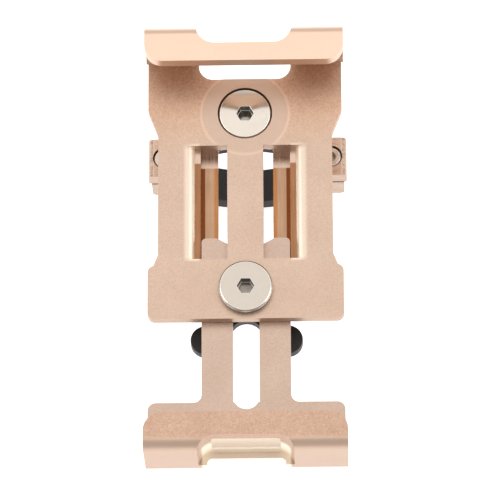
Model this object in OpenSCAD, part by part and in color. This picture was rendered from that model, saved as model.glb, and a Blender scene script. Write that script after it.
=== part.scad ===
// Adjustable handlebar phone holder, millimetres.
// Origin: centre of the handlebar bore.  +Z: out of the phone face of the plate.
// +Y: towards the fixed claw.  The sliding claw is drawn part way out.

/* [Plate] */
// Height of the plate face above the handlebar axis
face_z = 28; // [27.5:0.5:30]
// Width of the plate at its wide ends
plate_w = 38.4; // [37:0.2:40]
// Width of the plate at its waist
waist_w = 34.4; // [33:0.2:36]
// Thickness of the plate
plate_t = 2.2; // [2:0.1:2.4]
// Distance from the swivel axis to the lower screw
screw_pitch = 36.8; // [36:0.2:38]
// Distance from the lower screw to the end of the plate
plate_tail = 6.2; // [6:0.2:7]

/* [Claws] */
// Width across each claw
claw_w = 39.2; // [38.4:0.2:40]
// Clear height under the fixed claw
claw_gap = 8; // [7:0.5:9]
// Thickness of the fixed claw
claw_t = 2.8; // [2.4:0.1:3]
// Distance from the swivel axis to the outside of the fixed claw
claw_top = 14.5; // [14:0.1:15]
// Length of the fixed claw's lip
lip_l = 7.5; // [7:0.1:7.8]
// Half width of the relief notch in each claw
notch_half = 9.4; // [8:0.1:10]

/* [Windows] */
// Half width of the bar between the two windows
bar_half = 3.55; // [3.2:0.05:4]
// Half width out to the far wall of each window
window_half = 9.95; // [9.8:0.05:10.4]
// Upper end of the windows below the swivel axis
window_top = 6.8; // [6.6:0.1:7.2]
// Lower end of the windows below the swivel axis
window_end = 30.6; // [30:0.1:31]
// Radius of the long rounded edge of each window
window_round = 1.9; // [1.2:0.1:2]

/* [Slide] */
// Thickness of the sliding fork
slide_t = 2.6; // [2.4:0.1:2.8]
// Half width across the two prongs
prong_half = 8.7; // [8.5:0.05:8.8]
// Half width of the slot between the prongs
slot_half = 2.6; // [2.6:0.05:2.8]
// Distance from the swivel axis to the prong tips
tip_y = 25.5; // [25:0.1:27]
// Distance from the swivel axis to the edge of the cross bar
bar_y = 59.4; // [59:0.1:60]
// Distance from the swivel axis to the outside of the sliding claw
slide_end = 72.1; // [71.5:0.1:72.5]
// Height of the sliding claw's lip above the plate face
slide_lip_z = 9; // [8.5:0.1:9.5]

/* [Guide] */
// Thickness of the guide floor behind the prongs
floor_t = 1.6; // [1.4:0.1:1.8]
// Half width of the guide
guide_half = 13.5; // [13:0.1:14]
// Half width of the opening in the guide floor
gap_half = 5.45; // [5:0.05:5.6]
// Sliding clearance on each side of the fork
slide_gap = 0.1; // [0.05:0.05:0.15]

/* [Screws and knob] */
// Diameter of the two main screws
screw_d = 5; // [4.8:0.1:5]
// Diameter of the heads of the two main screws
head_d = 10.6; // [10:0.1:10.8]
// Height of the heads of the two main screws
head_t = 1.6; // [1.4:0.1:1.7]
// Width across the flats of the main screws' hexagon sockets
hex_af = 3; // [2.5:0.5:3]
// Distance from the knob axis to the centre of each rounded arm end
knob_reach = 11.5; // [11:0.1:11.6]
// Radius of each rounded arm end
knob_end_r = 2.9; // [2.6:0.1:3]
// Half width of each knob arm
knob_arm = 2; // [1.9:0.1:2.3]
// Thickness of the knob
knob_t = 2.6; // [2.4:0.1:3.2]

/* [Handlebar clamp] */
// Diameter of the handlebar
bar_d = 25.4; // [25.2:0.1:25.6]
// Thickness of the rubber liners
liner_t = 1.8; // [1.6:0.1:1.9]
// Radial thickness of the clamp arches
arch_t = 2.8; // [2.4:0.1:3]
// Width of the near clamp arch along the handlebar
near_arch_w = 4.4; // [4.2:0.1:4.8]
// Width of the far clamp arch along the handlebar
far_arch_w = 6.2; // [5.8:0.1:6.6]
// Width of the clamp ears along the handlebar
ear_w = 8.2; // [8:0.1:9]
// Half width across the ears of the near half
ear_half = 20.2; // [20:0.1:20.6]
// Distance from the bore centre to each clamp screw
clamp_screw_x = 17; // [17:0.1:17.2]
// Diameter of the clamp screws
clamp_screw_d = 2.5; // [2.4:0.1:2.5]

/* [Hidden] */
$fn = 96;
eps = 0.01;
far = 60;

plate_half = plate_w / 2;
waist_half = waist_w / 2;
plate_low = -screw_pitch - plate_tail;
taper_top = 0.7;
taper_in = -4.4;
taper_out = -29.7;
taper_low = -34.7;
plate_corner_r = 1.4;
pad_r = 9;
pad_top_r = 8.3;
pad_h = 0.15;
cutout_low = 7.3;
cutout_half = 9.1;
cutout_r = 2.8;

claw_half = claw_w / 2;
claw_wall = claw_top - claw_t;
lip_corner_r = 3.6;
outer_r = 2;
inner_r = 1;
notch_depth = 3.7;
notch_r = 3.6;

plate_back = face_z - plate_t;
slide_front = plate_back - slide_gap;
slide_back = slide_front - slide_t;
floor_front = slide_back - slide_gap;
guide_back = floor_front - floor_t;
channel_half = prong_half + 0.16;
channel_top = -6.6;
guide_top = 6.3;
guide_low = plate_low + 2;
gap_top = -3.9;
gap_low = -28.5;
gap_bevel = 1.25;
gap_bevel_y = 1.875;
guide_screw_x = 11.2;
guide_screw_ys = [-14, -38.5];
guide_screw_r = 1;
guide_head_r = 1.9;
guide_screw_top = face_z - 0.8;
guide_screw_gap = 0.05;
guide_screw_af = 1.3;
guide_screw_socket = 0.8;
guide_corner_r = 2;

slide_wall = slide_end - slide_t;
slide_lip_t = 2.2;
slide_under_r = 0.8;
slide_notch_depth = 2.7;
slide_edge = 0.5;
slot_reach = 3;
recess_r = 1;
slide_lip_y = 64.8;
slot_end = bar_y + 1.4;
prong_fillet = 1.6;
prong_bevel_x = 5.8;
prong_bevel_y = 1.7;
prong_tip_r = 0.9;
bar_corner_r = 1.6;
recess_half = 7.6;
recess_depth = 1.3;

screw_r = screw_d / 2;
hole_r = screw_r + 0.1;
head_r = head_d / 2;
head_bevel = 0.35;
seat_r = head_r + 0.12;
hex_depth = 2.2;
lower_head_z = face_z + head_t;
lower_screw_low = face_z - 11;

turn_gap = 0.1;
seat_gap = 0.05;
washer_t = 0.5;
washer_r = 4.2;
knob_front = guide_back - washer_t - turn_gap;
knob_back = knob_front - knob_t;
knob_fillet = 3.2;
knob_count = 4;
insert_r = 3.5;
insert_bore = screw_r + seat_gap;

swivel_t = 0.3;
disc_t = 0.3;
swivel_r = 4.1;
boss_top = guide_back - swivel_t - disc_t - turn_gap;

bar_r = bar_d / 2;
liner_r = bar_r + liner_t;
arch_r = liner_r + arch_t;
near_arch_half = near_arch_w / 2;
far_arch_half = far_arch_w / 2;
ear_wide = ear_w / 2;
split = 0.25;
ear_top = 4;
ear_low = -6.5;
ear_in = 12.5;
ear_round = 1.2;
far_ear_half = ear_half - 0.5;
liner_lap = 0.4;
liner_lap_r = arch_r - 0.8;
lap_half = 11.8;
thread_r = clamp_screw_d / 2 + seat_gap;
clamp_head_r = 2.2;
clamp_head_t = 2.4;
clamp_head_bevel = 0.3;
clamp_hex_af = 2;
clamp_hex_depth = 1.3;
upper_screw_gap = 0.6;
clamp_head_z = ear_top - 0.3;
clamp_screw_low = -6.2;

metal = "tan";
steel = "gainsboro";
black = "#1c1c1c";

// A hexagon of the given width across its flats
module hexagon(af) {
    circle(r = af / 2 / cos(30), $fn = 6);
}

// A rectangle from two corners with all four corners round
module round_box(x0, y0, x1, y1, r) {
    translate([x0 + r, y0]) square([x1 - x0 - 2 * r, y1 - y0]);
    translate([x0, y0 + r]) square([x1 - x0, y1 - y0 - 2 * r]);
    for (x = [x0 + r, x1 - r]) {
        for (y = [y0 + r, y1 - r]) {
            translate([x, y]) circle(r = r);
        }
    }
}

// The corner left between two square walls and a round of radius r
module corner_fill(r) {
    difference() {
        square([r, r]);
        translate([r, r]) circle(r = r);
    }
}

// A profile in Y and Z swept along X from -half to half
module along_x(half) {
    translate([-half, 0, 0]) rotate([90, 0, 90]) linear_extrude(2 * half) children();
}

// A profile in X and Z swept along Y from -half to half
module along_y(half) {
    translate([0, half, 0]) rotate([90, 0, 0]) linear_extrude(2 * half) children();
}

// A socket head screw pointing down, with the top of its head at the origin
module socket_screw(r, head_r, head_t, bevel, af, socket, low) {
    difference() {
        union() {
            translate([0, 0, -bevel]) cylinder(r1 = head_r, r2 = head_r - bevel, h = bevel);
            translate([0, 0, -head_t]) cylinder(r = head_r, h = head_t - bevel);
            translate([0, 0, -low]) cylinder(r = r, h = low - head_t + eps);
        }
        translate([0, 0, -socket]) linear_extrude(socket + eps) hexagon(af);
    }
}

module plate_outline() {
    round_box(-plate_half, plate_low, plate_half, taper_low + 2 * plate_corner_r, plate_corner_r);
    polygon([
        [plate_half, taper_low], [waist_half, taper_out], [waist_half, taper_in],
        [plate_half, taper_top], [plate_half, claw_wall + eps], [-plate_half, claw_wall + eps],
        [-plate_half, taper_top], [-waist_half, taper_in], [-waist_half, taper_out],
        [-plate_half, taper_low]]);
}

// One window on the +X side
module window() {
    width = window_half - bar_half;
    translate([bar_half, -window_end, plate_back - 1])
        cube([width, window_end - window_top, plate_t + 2]);
}

// The long round on the outer edge of a window on the +X side
module window_edge() {
    translate([window_half - eps, -window_top, face_z - window_round])
        rotate([90, 0, 0]) linear_extrude(window_end - window_top)
            difference() {
                square([window_round + eps, window_round + 1]);
                translate([window_round + eps, 0]) circle(r = window_round);
            }
}

// Hook profile of the fixed claw in Y and Z
module fixed_hook() {
    top = face_z + claw_gap + claw_t;
    difference() {
        union() {
            translate([claw_wall, plate_back]) square([claw_t, top - plate_back - outer_r]);
            translate([claw_top - lip_l, top - claw_t]) square([lip_l - outer_r, claw_t]);
            intersection() {
                translate([claw_top - outer_r, top - outer_r]) circle(r = outer_r);
                translate([claw_wall, top - claw_t]) square([claw_t, claw_t]);
            }
            translate([claw_wall, face_z]) mirror([1, 0]) corner_fill(inner_r);
            translate([claw_wall, top - claw_t]) rotate(180) corner_fill(inner_r);
        }
        translate([claw_top, plate_back]) mirror([1, 0]) corner_fill(inner_r);
    }
}

module front_plate() {
    color(metal) difference() {
        union() {
            translate([0, 0, plate_back]) linear_extrude(plate_t) plate_outline();
            translate([0, 0, face_z]) cylinder(r1 = pad_r, r2 = pad_top_r, h = pad_h);
            intersection() {
                along_x(claw_half) fixed_hook();
                translate([0, 0, plate_back]) linear_extrude(far)
                    round_box(-claw_half, claw_top - lip_l, claw_half, claw_top + far, lip_corner_r);
            }
        }
        for (side = [0, 1]) {
            mirror([side, 0, 0]) {
                window();
                window_edge();
                for (y = guide_screw_ys) {
                    translate([guide_screw_x, y, plate_back - 1])
                        cylinder(r = guide_screw_r, h = guide_screw_top - plate_back + 1);
                }
            }
        }
        // relief through the plate under the claw
        translate([0, 0, plate_back - 1]) linear_extrude(plate_t + claw_gap)
            round_box(-cutout_half, cutout_low, cutout_half, claw_top + far, cutout_r);
        // notch through the wall and the outer part of the lip
        translate([0, 0, plate_back - 1]) linear_extrude(far)
            round_box(-notch_half, claw_top - notch_depth, notch_half, claw_top + far, notch_r);
        translate([0, 0, face_z - head_t - seat_gap]) cylinder(r = seat_r, h = head_t + 1);
        translate([0, 0, plate_back - 1]) cylinder(r = hole_r, h = plate_t + 2);
        translate([0, -screw_pitch, plate_back - 1]) cylinder(r = hole_r, h = plate_t + 2);
    }
}

// Opening in the guide floor, bevelled at its upper corners
module floor_gap() {
    polygon([
        [gap_half, gap_low], [gap_half, gap_top - gap_bevel_y],
        [gap_half - gap_bevel, gap_top], [gap_bevel - gap_half, gap_top],
        [-gap_half, gap_top - gap_bevel_y], [-gap_half, gap_low]]);
}

module guide_plate() {
    color(metal) difference() {
        translate([0, 0, guide_back]) linear_extrude(plate_back - guide_back)
            round_box(-guide_half, guide_low, guide_half, guide_top, guide_corner_r);
        translate([-channel_half, guide_low - 1, floor_front])
            cube([2 * channel_half, channel_top - guide_low + 1, far]);
        translate([0, 0, guide_back - 1]) linear_extrude(far) floor_gap();
        translate([0, 0, guide_back - 1]) cylinder(r = hole_r, h = far);
        translate([0, -screw_pitch, guide_back - 1]) cylinder(r = hole_r, h = far);
        for (x = [-guide_screw_x, guide_screw_x]) {
            for (y = guide_screw_ys) {
                translate([x, y, guide_back - 1]) cylinder(r = guide_screw_r + guide_screw_gap, h = far);
                translate([x, y, guide_back])
                    cylinder(r1 = guide_head_r + guide_screw_gap, r2 = guide_screw_r + guide_screw_gap,
                        h = guide_head_r - guide_screw_r);
                translate([x, y, guide_back - 1])
                    cylinder(r = guide_head_r + guide_screw_gap, h = 1 + eps);
            }
        }
    }
}

// Countersunk screws that hold the guide to the plate from behind
module guide_screws() {
    head = guide_head_r - guide_screw_r;
    color(steel) for (x = [-guide_screw_x, guide_screw_x]) {
        for (y = guide_screw_ys) {
            translate([x, y, guide_back]) difference() {
                union() {
                    cylinder(r1 = guide_head_r, r2 = guide_screw_r, h = head);
                    cylinder(r = guide_screw_r, h = guide_screw_top - guide_back);
                }
                translate([0, 0, -eps]) linear_extrude(guide_screw_socket) hexagon(guide_screw_af);
            }
        }
    }
}

// One prong on the +X side, with a bevelled inner corner at its tip
module prong() {
    difference() {
        polygon([
            [slot_half, -bar_y - 1], [slot_half, -tip_y - prong_bevel_y],
            [prong_bevel_x, -tip_y], [prong_half, -tip_y], [prong_half, -bar_y - 1]]);
        translate([prong_half, -tip_y]) rotate(180) corner_fill(prong_tip_r);
    }
    translate([prong_half, -bar_y]) corner_fill(prong_fillet);
}

module slide_outline() {
    difference() {
        union() {
            for (side = [0, 1]) mirror([side, 0]) prong();
            round_box(-plate_half, -slide_end + slide_edge, plate_half, -bar_y, bar_corner_r);
            translate([-slot_half, -slot_end - 1]) square([2 * slot_half, slot_end - bar_y + 1]);
        }
        hull() {
            translate([0, -slot_end + slot_half]) circle(r = slot_half);
            translate([0, -bar_y + slot_reach]) circle(r = slot_half);
        }
    }
}

// Hook profile of the sliding claw in Y and Z
module slide_hook() {
    top = face_z + slide_lip_z;
    difference() {
        union() {
            translate([-slide_end, slide_back]) square([slide_t, top - slide_back - outer_r]);
            translate([-slide_end + outer_r, top - slide_lip_t])
                square([slide_end - slide_lip_y - outer_r, slide_lip_t]);
            intersection() {
                translate([-slide_end + outer_r, top - outer_r]) circle(r = outer_r);
                translate([-slide_end, top - slide_t]) square([slide_t, slide_t]);
            }
            translate([-slide_wall, slide_front]) corner_fill(inner_r);
            translate([-slide_wall, top - slide_lip_t]) mirror([0, 1]) corner_fill(inner_r);
        }
        translate([-slide_end, slide_back]) corner_fill(slide_under_r);
    }
}

module slide_claw() {
    color(metal) difference() {
        union() {
            translate([0, 0, slide_back]) linear_extrude(slide_t) slide_outline();
            intersection() {
                along_x(claw_half) slide_hook();
                translate([0, 0, slide_back]) linear_extrude(far)
                    round_box(-claw_half, -slide_end - far, claw_half, -slide_lip_y, lip_corner_r);
            }
        }
        // notch through the wall and the outer part of the lip, above the slide
        translate([0, 0, slide_front]) linear_extrude(far)
            round_box(-notch_half, -slide_end - far, notch_half, -slide_end + slide_notch_depth, notch_r);
        // shallow recess in the end of the slide
        translate([0, 0, slide_back - 1]) linear_extrude(far)
            round_box(-recess_half, -slide_end - far, recess_half, -slide_end + recess_depth, recess_r);
    }
}

module upper_screw() {
    color(steel) translate([0, 0, face_z])
        socket_screw(screw_r, head_r, head_t, head_bevel, hex_af, hex_depth,
            face_z - liner_r - upper_screw_gap);
}

module lower_screw() {
    color(steel) translate([0, -screw_pitch, lower_head_z])
        socket_screw(screw_r, head_r, head_t, head_bevel, hex_af, hex_depth,
            lower_head_z - lower_screw_low);
}

module knob_washer() {
    color(steel) translate([0, -screw_pitch, guide_back - washer_t]) difference() {
        cylinder(r = washer_r, h = washer_t);
        translate([0, 0, -1]) cylinder(r = hole_r, h = washer_t + 2);
    }
}

// Outline of the knob: arms with round ends and a fillet in each corner
module knob_outline() {
    step = 360 / knob_count;
    root = knob_arm + knob_fillet;
    for (i = [0 : knob_count - 1]) {
        rotate(step * (i + 0.5)) {
            translate([-knob_arm, -knob_arm]) square([knob_arm + knob_reach, 2 * knob_arm]);
            translate([knob_reach, 0]) circle(r = knob_end_r);
            difference() {
                square([root, root]);
                translate([root, root]) circle(r = knob_fillet);
            }
        }
    }
}

module star_knob() {
    color(black) translate([0, -screw_pitch, knob_back]) difference() {
        linear_extrude(knob_t) knob_outline();
        translate([0, 0, -1]) linear_extrude(knob_t + 2) hexagon(2 * insert_r * cos(30));
    }
}

module knob_insert() {
    color(steel) translate([0, -screw_pitch, knob_back]) difference() {
        linear_extrude(knob_t) hexagon(2 * insert_r * cos(30));
        translate([0, 0, -1]) cylinder(r = insert_bore, h = knob_t + 2);
    }
}

// A flat ring under the guide, around the swivel screw
module swivel_ring(z, t) {
    translate([0, 0, z]) difference() {
        cylinder(r = swivel_r, h = t);
        translate([0, 0, -1]) cylinder(r = hole_r, h = t + 2);
    }
}

module swivel_washer() {
    color(steel) swivel_ring(boss_top, swivel_t);
}

module friction_disc() {
    color(black) swivel_ring(boss_top + swivel_t, disc_t);
}

// Everything in X and Z inside the given radius range, above or below the axis
module half_ring(r0, r1, side) {
    intersection() {
        difference() {
            circle(r = r1);
            circle(r = r0);
        }
        translate([-far, side > 0 ? split : -far - split]) square([2 * far, far]);
    }
}

// Ear blocks in X and Z with round outer corners, clear of the liner
module ears(half, z0, z1) {
    difference() {
        round_box(-half, z0, half, z1, ear_round);
        circle(r = liner_r);
        translate([-ear_in, -far]) square([2 * ear_in, 2 * far]);
    }
}

module clamp_upper() {
    color(metal) difference() {
        union() {
            along_y(near_arch_half) half_ring(liner_r, arch_r, 1);
            along_y(ear_wide) intersection() {
                ears(ear_half, split - ear_round, ear_top);
                translate([-far, split]) square([2 * far, far]);
            }
            difference() {
                cylinder(r = swivel_r, h = boss_top);
                along_y(far) circle(r = liner_r);
            }
        }
        cylinder(r = screw_r, h = far);
        for (x = [-clamp_screw_x, clamp_screw_x]) {
            translate([x, 0, 0]) cylinder(r = thread_r, h = far);
            translate([x, 0, clamp_head_z - clamp_head_t - seat_gap])
                cylinder(r = clamp_head_r + turn_gap, h = far);
        }
    }
}

module clamp_lower() {
    color(metal) difference() {
        union() {
            along_y(far_arch_half) half_ring(liner_r, arch_r, -1);
            along_y(ear_wide) intersection() {
                ears(far_ear_half, ear_low, ear_round);
                translate([-far, -far - split]) square([2 * far, far]);
            }
        }
        for (x = [-clamp_screw_x, clamp_screw_x]) {
            translate([x, 0, -far]) cylinder(r = thread_r, h = far);
        }
    }
}

module liner_upper() {
    color(black) along_y(near_arch_half) half_ring(bar_r, liner_r, 1);
}

// The far liner laps over both side faces of its arch
module liner_lower() {
    color(black) {
        along_y(far_arch_half + liner_lap) half_ring(bar_r, liner_r, -1);
        for (side = [0, 1]) {
            mirror([0, side, 0]) translate([0, far_arch_half + liner_lap / 2, 0])
                along_y(liner_lap / 2) intersection() {
                    half_ring(liner_r - eps, liner_lap_r, -1);
                    translate([-lap_half, -far]) square([2 * lap_half, 2 * far]);
                }
        }
    }
}

module clamp_screw(x) {
    color(steel) translate([x, 0, clamp_head_z])
        socket_screw(clamp_screw_d / 2, clamp_head_r, clamp_head_t, clamp_head_bevel, clamp_hex_af,
            clamp_hex_depth, clamp_head_z - clamp_screw_low);
}

module clamp_screw_left() {
    clamp_screw(-clamp_screw_x);
}

module clamp_screw_right() {
    clamp_screw(clamp_screw_x);
}

front_plate();
guide_plate();
guide_screws();
slide_claw();
upper_screw();
lower_screw();
knob_washer();
star_knob();
knob_insert();
swivel_washer();
friction_disc();
clamp_upper();
clamp_lower();
liner_upper();
liner_lower();
clamp_screw_left();
clamp_screw_right();
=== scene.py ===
"""Handlebar phone holder: materials, rounded edges, camera, floor and light."""

import math

import bpy
from mathutils import Matrix, Vector

MM = 0.001

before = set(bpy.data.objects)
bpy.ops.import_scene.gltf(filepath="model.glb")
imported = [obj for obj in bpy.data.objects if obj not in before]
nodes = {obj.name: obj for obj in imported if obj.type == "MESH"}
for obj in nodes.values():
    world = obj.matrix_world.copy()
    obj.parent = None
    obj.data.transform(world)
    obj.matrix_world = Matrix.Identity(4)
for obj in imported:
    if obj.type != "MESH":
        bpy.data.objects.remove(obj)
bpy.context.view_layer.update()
scene = bpy.context.scene


# ---------------------------------------------------------------- materials


class Shader:
    """A Principled material with small helpers for its node tree."""

    def __init__(self, name, metallic, roughness, colour, **sockets):
        self.material = bpy.data.materials.new(name)
        self.material.use_nodes = True
        self.tree = self.material.node_tree
        self.tree.nodes.clear()
        output = self.add("ShaderNodeOutputMaterial")
        self.bsdf = self.add("ShaderNodeBsdfPrincipled")
        self.tree.links.new(self.bsdf.outputs[0], output.inputs[0])
        self.bsdf.inputs["Metallic"].default_value = metallic
        self.bsdf.inputs["Roughness"].default_value = roughness
        self.bsdf.inputs["Base Color"].default_value = (*colour, 1)
        for socket, value in sockets.items():
            self.bsdf.inputs[socket.replace("_", " ")].default_value = value
        self.coordinates = self.add("ShaderNodeTexCoord").outputs["Object"]
        self.height = None

    def add(self, kind):
        return self.tree.nodes.new(kind)

    def link(self, source, target):
        self.tree.links.new(source, target)

    def noise(self, size_mm, detail=2.0, rough=0.5, stretch=(1, 1, 1)):
        """Noise with features of about that size, longer along the axes that stretch names."""
        mapping = self.add("ShaderNodeMapping")
        mapping.inputs["Scale"].default_value = [1 / s for s in stretch]
        self.link(self.coordinates, mapping.inputs["Vector"])
        texture = self.add("ShaderNodeTexNoise")
        texture.inputs["Scale"].default_value = 1 / (size_mm * MM)
        texture.inputs["Detail"].default_value = detail
        texture.inputs["Roughness"].default_value = rough
        self.link(mapping.outputs[0], texture.inputs["Vector"])
        return texture.outputs["Fac"]

    def specks(self, size_mm):
        """Random grey per cell of about that size."""
        texture = self.add("ShaderNodeTexVoronoi")
        texture.inputs["Scale"].default_value = 1 / (size_mm * MM)
        self.link(self.coordinates, texture.inputs["Vector"])
        split = self.add("ShaderNodeSeparateColor")
        self.link(texture.outputs["Color"], split.inputs[0])
        return split.outputs[0]

    def ramp(self, source, *stops):
        """Colours or greys at places along the source's value."""
        node = self.add("ShaderNodeValToRGB")
        elements = node.color_ramp.elements
        while len(elements) < len(stops):
            elements.new(0.5)
        for element, (place, colour) in zip(elements, stops):
            element.position = place
            element.color = (*colour, 1)
        self.link(source, node.inputs[0])
        return node.outputs[0]

    def put(self, value, socket):
        """Links an output to the socket, or sets a constant on it."""
        if isinstance(value, bpy.types.NodeSocket):
            self.link(value, socket)
        else:
            socket.default_value = value

    def mix(self, factor, a, b, blend="MIX"):
        node = self.add("ShaderNodeMix")
        node.data_type = "RGBA"
        node.blend_type = blend
        self.put(factor, node.inputs[0])
        self.put(a, node.inputs[6])
        self.put(b, node.inputs[7])
        return node.outputs[2]

    def maths(self, operation, *operands):
        node = self.add("ShaderNodeMath")
        node.operation = operation
        for operand, socket in zip(operands, node.inputs):
            self.put(operand, socket)
        return node.outputs[0]

    def axis(self, name):
        """Position along one of the object's axes, in metres."""
        split = self.add("ShaderNodeSeparateXYZ")
        self.link(self.coordinates, split.inputs[0])
        return split.outputs[name]

    def from_middle(self):
        """Distance from the plane X = 0."""
        return self.maths("ABSOLUTE", self.axis("X"))

    def radius(self, place=None):
        """Distance from the Z axis of the object, or of a shifted place."""
        flat = self.add("ShaderNodeVectorMath")
        flat.operation = "MULTIPLY"
        flat.inputs[1].default_value = (1, 1, 0)
        self.link(place or self.coordinates, flat.inputs[0])
        length = self.add("ShaderNodeVectorMath")
        length.operation = "LENGTH"
        self.link(flat.outputs[0], length.inputs[0])
        return length.outputs["Value"]

    def fade(self, source, zero_mm, one_mm, interpolation="LINEAR"):
        """0 where the source is at zero_mm and 1 where it is at one_mm."""
        node = self.add("ShaderNodeMapRange")
        node.interpolation_type = interpolation
        node.inputs["From Min"].default_value = zero_mm * MM
        node.inputs["From Max"].default_value = one_mm * MM
        self.link(source, node.inputs["Value"])
        return node.outputs[0]

    def along(self, axis, start_mm, end_mm):
        """0 before start and 1 after end along an axis of the object."""
        return self.fade(self.axis(axis), start_mm, end_mm, "SMOOTHSTEP")

    def inside(self, out_to, out_from, y_low, y_high, z_high):
        """1 in a box on both sides of X = 0. Each pair is where the mask is 0 and where it is 1
        in mm: |X| from outside, |X| from inside, Y from below, Y from above, Z from above."""
        across = self.from_middle()
        y = self.axis("Y")
        sides = ((across, out_to), (across, out_from), (y, y_low), (y, y_high), (self.axis("Z"), z_high))
        total = 1.0
        for source, (zero_mm, one_mm) in sides:
            total = self.maths("MULTIPLY", total, self.fade(source, zero_mm, one_mm))
        return total

    def disc(self, radius_mm):
        """1 inside a radius about the Z axis, with a soft edge."""
        return self.fade(self.radius(), radius_mm, radius_mm * 0.9)

    def rim(self, radius_mm, band_mm):
        """1 along a circle about the Z axis, fading out within band_mm on both sides."""
        away = self.maths("SUBTRACT", self.radius(), radius_mm * MM)
        return self.fade(self.maths("ABSOLUTE", away), band_mm, 0)

    def spread(self, source, low, high):
        """The source's middle range stretched from low to high."""
        node = self.add("ShaderNodeMapRange")
        node.inputs["From Min"].default_value = 0.3
        node.inputs["From Max"].default_value = 0.7
        node.inputs["To Min"].default_value = low
        node.inputs["To Max"].default_value = high
        self.link(source, node.inputs["Value"])
        return node.outputs[0]

    def colour(self, source):
        self.link(source, self.bsdf.inputs["Base Color"])

    def roughness(self, source):
        self.link(source, self.bsdf.inputs["Roughness"])

    def bump(self, source, depth_mm, strength=1.0):
        """Adds a bump layer of that depth on top of the ones before it."""
        node = self.add("ShaderNodeBump")
        node.inputs["Distance"].default_value = depth_mm * MM
        node.inputs["Strength"].default_value = strength
        self.link(source, node.inputs["Height"])
        if self.height is not None:
            self.link(self.height, node.inputs["Normal"])
        self.height = node.outputs[0]
        self.link(self.height, self.bsdf.inputs["Normal"])


def tint(colour, factor):
    return tuple(min(1.0, c * factor) for c in colour)


def rgba(colour):
    return (*colour, 1.0)


# Places on the CAD nodes, in mm
SCREW_PITCH = 36.8
CLAMP_SCREW_X = 17
UPPER_SOCKET_Z = 27.2
LOWER_SOCKET_Z = 28.7
CLAMP_SOCKET_Z = 2.8
SOCKET_FADE = 0.5
PAD_R = 8.7
# Width of the painted highlight along the pad's rim
PAD_HIGHLIGHT_BAND = 0.45
# Across the guide, its bands of painted shade and painted reflection run over this range of |X|
GUIDE_SHADE_BANDS = (5, 10)
# The painted bands show above this height, on the face under the plate
GUIDE_FACE = (22.5, 22.9)
# Past this Y the guide's channel has ended
CHANNEL_END = (-9.9, -9.6)
# Depth of a bump whose height is already a true height in metres
TRUE_HEIGHT = 1 / MM

ROSE = (0.60, 0.435, 0.335)
SLIDE_ROSE = (0.56, 0.41, 0.325)
# Painted highlight colour for the top claw's lip, which faces the lights
LIP_HIGHLIGHT = (0.80, 0.575, 0.44)
# BRIGHT is the colour of the bright cut on edges, and is also painted as highlight on the window rounds
# and in the claw's notch
BRIGHT = (0.98, 0.86, 0.71)
COPPER = (0.46, 0.25, 0.145)


def blasted(name, base, coarse_and_glinting, smooth, highlight_colour, highlight_box, ring_mm=None):
    """Sand-blasted anodised alloy. The two ranges after base are (axis, start, end) in mm:
    past the first the specks are stronger, partly grain and partly painted glints where the light
    grazes, and past the second the surface is smooth and painted paler, as a highlight where it faces
    the lights.
    The box holds the limits in mm of a painted highlight in the bright metal colour, and ring_mm is the
    radius of a smoother pad about the Z axis, a little darker, with a painted highlight along its rim."""
    s = Shader(name, 1.0, 0.42, base)
    grain = s.noise(0.34, 3, 0.65)
    fine = s.specks(0.26)
    cloud = s.noise(7, 3, 0.55)
    where = s.along(*coarse_and_glinting)
    # Past the first range the specks grow stronger: partly grain, partly painted glints where the light
    # grazes
    soft = s.ramp(fine, (0.0, (0.93, 0.93, 0.93)), (0.9, (1.0, 1.0, 1.0)))
    strong_grain_and_glints = s.ramp(fine, (0.0, (0.88, 0.78, 0.70)), (0.5, (0.97, 0.87, 0.79)), (0.95, (1.06, 0.97, 0.90)))
    colour = s.ramp(grain, (0.30, tint(base, 0.88)), (0.5, base), (0.72, tint(base, 1.10)))
    cloudy = s.ramp(cloud, (0.35, (0.95, 0.94, 0.93)), (0.65, (1.0, 1.0, 1.0)))
    colour = s.mix(1.0, colour, cloudy, "MULTIPLY")
    colour = s.mix(1.0, colour, s.mix(where, soft, strong_grain_and_glints), "MULTIPLY")
    if ring_mm:
        colour = s.mix(s.disc(ring_mm), colour, rgba(tint(base, 0.92)))
        # A painted highlight along the pad's rim
        colour = s.mix(s.rim(ring_mm, PAD_HIGHLIGHT_BAND), colour, rgba(tint(base, 1.08)))
    # Past the second range the surface is smooth, and painted paler as a highlight where it faces the
    # lights
    smooth_and_lit = s.along(*smooth)
    pale = s.ramp(cloud, (0.3, tint(highlight_colour, 0.97)), (0.7, highlight_colour))
    colour = s.mix(smooth_and_lit, colour, pale)
    # A painted highlight in the bright metal colour inside the box
    colour = s.mix(s.inside(*highlight_box), colour, rgba(BRIGHT))
    keep = s.maths("SUBTRACT", 1.0, smooth_and_lit)
    s.bump(s.maths("MULTIPLY", grain, keep), 0.012, 0.55)
    s.bump(s.maths("MULTIPLY", fine, keep), 0.010, 0.45)
    s.colour(colour)
    s.roughness(s.spread(grain, 0.36, 0.50))
    return s.material


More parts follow.
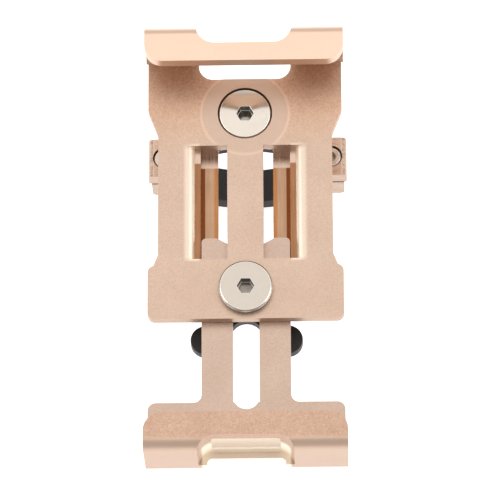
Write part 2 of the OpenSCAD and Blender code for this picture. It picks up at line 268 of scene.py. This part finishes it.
def channelled(name, base):
    """The guide: cutter marks along Y, and bands of painted shade and painted reflection beside the
    channel under the plate.
    """
    s = Shader(name, 1.0, 0.26, base)
    marks = s.noise(0.5, 2, 0.5, (1, 16, 1))
    cloud = s.noise(5, 3, 0.5)
    # Painted across |X|: reflection bands on the rail, a dark strip of painted shade in the gap by the
    # channel wall, then the land
    shade_and_reflection_bands = s.ramp(
        s.fade(s.from_middle(), *GUIDE_SHADE_BANDS),
        (0.00, (0.37, 0.15, 0.05)),
        (0.22, (0.39, 0.175, 0.07)),
        (0.30, (0.42, 0.26, 0.165)),
        (0.60, (0.38, 0.225, 0.135)),
        (0.625, (0.155, 0.042, 0.012)),
        (0.76, (0.19, 0.058, 0.018)),
        (0.79, (0.31, 0.145, 0.07)),
    )
    tone = s.ramp(marks, (0.3, (0.80, 0.80, 0.80)), (0.7, (1.08, 1.08, 1.08)))
    wear = s.ramp(cloud, (0.35, (0.92, 0.90, 0.89)), (0.65, (1.0, 1.0, 1.0)))
    plain = s.ramp(cloud, (0.3, tint(base, 0.93)), (0.7, base))
    front = s.mix(s.along("Z", *GUIDE_FACE), plain, shade_and_reflection_bands)
    front = s.mix(s.along("Y", *CHANNEL_END), front, rgba(ROSE))
    s.colour(s.mix(1.0, s.mix(1.0, front, tone, "MULTIPLY"), wear, "MULTIPLY"))
    s.roughness(s.spread(marks, 0.2, 0.34))
    s.bump(marks, 0.004, 0.5)
    return s.material


def machined(name, base, stretch, low=0.16, high=0.30):
    """Anodised alloy with faint cutter marks along one axis."""
    s = Shader(name, 1.0, 0.22, base)
    marks = s.noise(0.5, 2, 0.5, stretch)
    cloud = s.noise(5, 3, 0.5)
    tone = s.ramp(marks, (0.3, tint(base, 0.86)), (0.7, tint(base, 1.10)))
    wear = s.ramp(cloud, (0.35, (0.93, 0.91, 0.90)), (0.65, (1.0, 1.0, 1.0)))
    s.colour(s.mix(1.0, tone, wear, "MULTIPLY"))
    s.roughness(s.spread(marks, low, high))
    s.bump(marks, 0.004, 0.5)
    return s.material


def polished(name, base, low=0.10, high=0.24):
    """The bright cut on edges, with handling marks."""
    s = Shader(name, 1.0, 0.15, base)
    nicks = s.noise(0.8, 4, 0.6)
    s.colour(s.ramp(nicks, (0.25, tint(base, 0.88)), (0.55, base)))
    s.roughness(s.spread(nicks, low, high))
    s.bump(nicks, 0.003, 0.4)
    return s.material


def turned_steel(name, centre_mm, base, floor_mm, low=0.10, high=0.24, cone=0.0):
    """Polished stainless with rings around its own axis, and painted shade below floor_mm, in the
    socket.
    cone is how far the turned face falls off per mm of radius."""
    s = Shader(name, 1.0, 0.16, base)
    shift = s.add("ShaderNodeMapping")
    shift.inputs["Location"].default_value = [-c * MM for c in centre_mm]
    s.link(s.coordinates, shift.inputs["Vector"])
    wave = s.add("ShaderNodeTexWave")
    wave.wave_type = "RINGS"
    wave.rings_direction = "Z"
    wave.inputs["Scale"].default_value = 900
    wave.inputs["Distortion"].default_value = 1.5
    wave.inputs["Detail"].default_value = 2
    s.link(shift.outputs[0], wave.inputs["Vector"])
    haze = s.noise(1.6, 4, 0.6)
    clean = s.ramp(haze, (0.3, tint(base, 0.93)), (0.6, base))
    # Painted shade in the hex socket, below floor_mm
    socket_shade = s.ramp(haze, (0.3, tint(base, 0.28)), (0.7, tint(base, 0.62)))
    s.colour(s.mix(s.along("Z", floor_mm, floor_mm + SOCKET_FADE), socket_shade, clean))
    s.roughness(s.spread(haze, low, high))
    if cone:
        s.bump(s.maths("MULTIPLY", s.radius(shift.outputs[0]), -cone), TRUE_HEIGHT)
    s.bump(wave.outputs["Fac"], 0.0012, 0.25)
    s.bump(haze, 0.002, 0.3)
    return s.material


def brushed_steel(name, base):
    s = Shader(name, 1.0, 0.25, base)
    marks = s.noise(0.3, 3, 0.6, (1, 6, 1))
    s.colour(s.ramp(marks, (0.3, tint(base, 0.85)), (0.7, base)))
    s.roughness(s.spread(marks, 0.2, 0.36))
    s.bump(marks, 0.003, 0.5)
    return s.material


def moulded(name, base, grain_mm=0.16, rough=(0.48, 0.64), depth=0.012):
    """Matt black moulding with a spark-eroded grain and paler rubbed places."""
    s = Shader(name, 0.0, 0.55, base, Specular_IOR_Level=0.42)
    grain = s.noise(grain_mm, 3, 0.6)
    rub = s.noise(3.2, 4, 0.6)
    tone = s.ramp(grain, (0.3, tint(base, 0.8)), (0.7, tint(base, 1.25)))
    worn = s.ramp(rub, (0.45, (0.0, 0.0, 0.0)), (0.8, (0.012, 0.012, 0.012)))
    s.colour(s.mix(1.0, tone, worn, "ADD"))
    s.roughness(s.spread(rub, *rough))
    s.bump(grain, depth, 0.6)
    return s.material


# Limits in mm of the painted highlights on the window rounds and in the sliding claw's notch, as
# Shader.inside takes them
PLATE_ROUND_HIGHLIGHT = ((12.3, 10.6), (8.8, 9.3), (-31.2, -30.2), (-6.2, -7.6), (40, 39))
NOTCH_HIGHLIGHT = ((8.8, 8.4), (-1, 0), (-73, -72.9), (-66, -66.1), (33, 31))
UPPER_STEEL = (0.57, 0.51, 0.445)
LOWER_STEEL = (0.49, 0.435, 0.375)
CLAMP_STEEL = (0.62, 0.57, 0.52)
MATERIALS = {
    "plate": blasted("Blasted_plate", ROSE, ("Y", -9, 2), ("Z", 32.5, 34.5), LIP_HIGHLIGHT, PLATE_ROUND_HIGHLIGHT, PAD_R),
    "slide": blasted("Blasted_slide", SLIDE_ROSE, ("Z", 30.5, 32.5), ("Y", -69.4, -71), ROSE, NOTCH_HIGHLIGHT),
    "edge": polished("Cut_edge", BRIGHT),
    "guide": channelled("Machined_guide", COPPER),
    "clamp": machined("Machined_clamp", tint(ROSE, 0.96), (14, 1, 1), 0.2, 0.36),
    "plain_edge": polished("Soft_edge", tint(ROSE, 1.12), 0.2, 0.34),
    "upper": turned_steel("Turned_steel_upper", (0, 0, 0), UPPER_STEEL, UPPER_SOCKET_Z, 0.1, 0.2, 0.16),
    "lower": turned_steel(
        "Turned_steel_lower", (0, -SCREW_PITCH, 0), LOWER_STEEL, LOWER_SOCKET_Z, 0.16, 0.30
    ),
    "screw_left": turned_steel(
        "Turned_steel_left", (-CLAMP_SCREW_X, 0, 0), CLAMP_STEEL, CLAMP_SOCKET_Z, 0.16, 0.3
    ),
    "screw_right": turned_steel(
        "Turned_steel_right", (CLAMP_SCREW_X, 0, 0), CLAMP_STEEL, CLAMP_SOCKET_Z, 0.16, 0.3
    ),
    "steel": brushed_steel("Brushed_steel", (0.62, 0.60, 0.57)),
    "steel_edge": polished("Steel_edge", (0.86, 0.82, 0.76)),
    "brass": machined("Turned_brass", (0.72, 0.53, 0.24), (1, 1, 5)),
    "knob": moulded("Matt_nylon", (0.013, 0.012, 0.011)),
    "disc": moulded("Acetal_disc", (0.028, 0.028, 0.028), 0.3, (0.34, 0.46), 0.004),
    "rubber": moulded("Black_rubber", (0.018, 0.015, 0.014), 0.22, (0.62, 0.8), 0.02),
}


# ------------------------------------------------------- edges of CAD nodes


SHARP_ANGLE = 32
SCREW_ANGLE = 40
WELD_DISTANCE = 1e-6
FLAT_ANGLE = 0.5


def smooth_by_angle():
    """A node group that shades smooth and keeps edges over SHARP_ANGLE degrees sharp."""
    group = bpy.data.node_groups.new("Smooth_by_angle", "GeometryNodeTree")
    group.interface.new_socket("Geometry", in_out="INPUT", socket_type="NodeSocketGeometry")
    group.interface.new_socket("Geometry", in_out="OUTPUT", socket_type="NodeSocketGeometry")
    start = group.nodes.new("NodeGroupInput")
    end = group.nodes.new("NodeGroupOutput")
    faces = group.nodes.new("GeometryNodeSetShadeSmooth")
    faces.domain = "FACE"
    edges = group.nodes.new("GeometryNodeSetShadeSmooth")
    edges.domain = "EDGE"
    edges.inputs["Shade Smooth"].default_value = False
    angle = group.nodes.new("GeometryNodeInputMeshEdgeAngle")
    over = group.nodes.new("FunctionNodeCompare")
    over.operation = "GREATER_THAN"
    over.inputs[1].default_value = math.radians(SHARP_ANGLE)
    group.links.new(angle.outputs["Unsigned Angle"], over.inputs[0])
    group.links.new(over.outputs[0], edges.inputs["Selection"])
    group.links.new(start.outputs[0], faces.inputs["Geometry"])
    group.links.new(faces.outputs[0], edges.inputs["Geometry"])
    group.links.new(edges.outputs[0], end.inputs[0])
    return group


SMOOTH = smooth_by_angle()


def clear_custom_normals(mesh):
    for name in ("custom_normal", "sharp_edge", "sharp_face"):
        attribute = mesh.attributes.get(name)
        if attribute is not None:
            mesh.attributes.remove(attribute)


def soften(obj, width_mm, segments, angle):
    """Joins split vertices, merges flat faces and rounds sharp edges. The rounds take the
    second material when there is one. The bevel's clamp keeps it inside the CAD box."""
    clear_custom_normals(obj.data)
    weld = obj.modifiers.new("Weld", "WELD")
    weld.merge_threshold = WELD_DISTANCE
    clean = obj.modifiers.new("Clean", "DECIMATE")
    clean.decimate_type = "DISSOLVE"
    clean.angle_limit = math.radians(FLAT_ANGLE)
    bevel = obj.modifiers.new("Bevel", "BEVEL")
    bevel.width = width_mm * MM
    bevel.segments = segments
    bevel.limit_method = "ANGLE"
    bevel.angle_limit = math.radians(angle)
    bevel.use_clamp_overlap = True
    bevel.miter_outer = "MITER_ARC"
    if len(obj.data.materials) > 1:
        bevel.material = 1
    smooth = obj.modifiers.new("Smooth", "NODES")
    smooth.node_group = SMOOTH
    weighted = obj.modifiers.new("Weighted", "WEIGHTED_NORMAL")
    weighted.keep_sharp = True


def dress(node, width_mm, *materials, segments=3, angle=SHARP_ANGLE):
    """Gives a CAD node its materials, and edges rounded by width_mm."""
    obj = nodes[node]
    obj.data.materials.clear()
    for material in materials:
        obj.data.materials.append(MATERIALS[material])
    for polygon in obj.data.polygons:
        polygon.material_index = 0
    soften(obj, width_mm, segments, angle)


dress("front_plate", 0.16, "plate", "edge")
dress("slide_claw", 0.14, "slide", "edge")
dress("guide_plate", 0.12, "guide", "plain_edge")
dress("guide_screws", 0.05, "steel", "steel_edge", segments=2)
dress("upper_screw", 0.06, "upper", "steel_edge", segments=2, angle=SCREW_ANGLE)
dress("lower_screw", 0.06, "lower", "steel_edge", segments=2, angle=SCREW_ANGLE)
dress("knob_washer", 0.06, "steel", "steel_edge", segments=2)
dress("star_knob", 0.45, "knob", segments=4)
dress("knob_insert", 0.08, "brass", segments=2)
dress("swivel_washer", 0.04, "steel", "steel_edge", segments=2)
dress("friction_disc", 0.04, "disc", segments=2)
dress("clamp_upper", 0.30, "clamp", "plain_edge")
dress("clamp_lower", 0.30, "clamp", "plain_edge")
dress("liner_upper", 0.12, "rubber", segments=2)
dress("liner_lower", 0.12, "rubber", segments=2)
for side in ("left", "right"):
    dress("clamp_screw_" + side, 0.05, "screw_" + side, "steel_edge", segments=2, angle=SCREW_ANGLE)


# ------------------------------------------------------------------- camera

# TILT, SIDE and ROLL are in degrees, DISTANCE in metres
FOCAL_PX = 4080
IMAGE_PX = 490
SENSOR_MM = 36
DISTANCE = 0.8
TILT = 20.0
SIDE = 1.2
ROLL = 0.25
AIM = Vector((-0.1 * MM, -27.8 * MM, 28 * MM))


def make_camera():
    data = bpy.data.cameras.new("Camera")
    data.sensor_width = SENSOR_MM
    data.lens = FOCAL_PX / IMAGE_PX * SENSOR_MM
    camera = bpy.data.objects.new("Camera", data)
    scene.collection.objects.link(camera)
    back = Vector((math.tan(math.radians(SIDE)), -math.tan(math.radians(TILT)), 1)).normalized()
    up = (Vector((0, 1, 0)) - back * back.y).normalized()
    right = up.cross(back)
    roll = math.radians(-ROLL)
    right, up = (
        right * math.cos(roll) + up * math.sin(roll),
        up * math.cos(roll) - right * math.sin(roll),
    )
    rotation = Matrix((right, up, back)).transposed().to_4x4()
    camera.matrix_world = Matrix.Translation(AIM + back * DISTANCE) @ rotation
    scene.camera = camera


make_camera()


# ---------------------------------------------------------- floor and light

FLOOR_Z = -0.0185
FLOOR_HALF = 3.0
LIGHT_TARGET = (0, -0.03, 0.02)
WHITE = (1, 1, 1, 1)


def make_floor():
    """A flat floor just below the clamp, which glows a little so that it renders white."""
    mesh = bpy.data.meshes.new("Floor")
    signs = ((-1, -1), (1, -1), (1, 1), (-1, 1))
    corners = [(x * FLOOR_HALF, y * FLOOR_HALF, FLOOR_Z) for x, y in signs]
    mesh.from_pydata(corners, [], [(0, 1, 2, 3)])
    floor = bpy.data.objects.new("Floor", mesh)
    scene.collection.objects.link(floor)
    s = Shader("Pale_floor", 0.0, 0.6, (0.9, 0.9, 0.9), Emission_Strength=0.45)
    s.bsdf.inputs["Emission Color"].default_value = WHITE
    s.colour(s.ramp(s.noise(300, 2), (0.3, (0.88, 0.88, 0.88)), (0.7, (0.9, 0.9, 0.9))))
    mesh.materials.append(s.material)


def area_light(name, place, size, power):
    """A rectangular light at a place in metres, aimed at the object."""
    data = bpy.data.lights.new(name, "AREA")
    data.shape = "RECTANGLE"
    data.size, data.size_y = size
    data.energy = power
    light = bpy.data.objects.new(name, data)
    scene.collection.objects.link(light)
    light.location = place
    direction = Vector(LIGHT_TARGET) - Vector(place)
    light.rotation_mode = "QUATERNION"
    light.rotation_quaternion = direction.to_track_quat("-Z", "Y")


def make_world():
    """A pale studio, a little brighter at the horizon than above."""
    world = bpy.data.worlds.new("Studio")
    scene.world = world
    world.use_nodes = True
    tree = world.node_tree
    background = next(n for n in tree.nodes if n.type == "BACKGROUND")
    coordinates = tree.nodes.new("ShaderNodeTexCoord")
    split = tree.nodes.new("ShaderNodeSeparateXYZ")
    ramp = tree.nodes.new("ShaderNodeValToRGB")
    ramp.color_ramp.elements[0].position = 0.0
    ramp.color_ramp.elements[0].color = (1.22, 1.21, 1.20, 1)
    ramp.color_ramp.elements[1].position = 0.75
    ramp.color_ramp.elements[1].color = (0.95, 0.95, 0.95, 1)
    tree.links.new(coordinates.outputs["Generated"], split.inputs[0])
    tree.links.new(split.outputs[2], ramp.inputs[0])
    tree.links.new(ramp.outputs[0], background.inputs["Color"])
    background.inputs["Strength"].default_value = 0.72


make_floor()
make_world()
area_light("Top_box", (0.0, 0.35, 1.1), (1.2, 0.9), 3.1)
for name, sign in (("Left_box", -1), ("Right_box", 1)):
    area_light(name, (sign * 0.85, -0.1, 0.5), (0.7, 0.6), 3.2)

scene.view_settings.view_transform = "Standard"
scene.view_settings.look = "None"
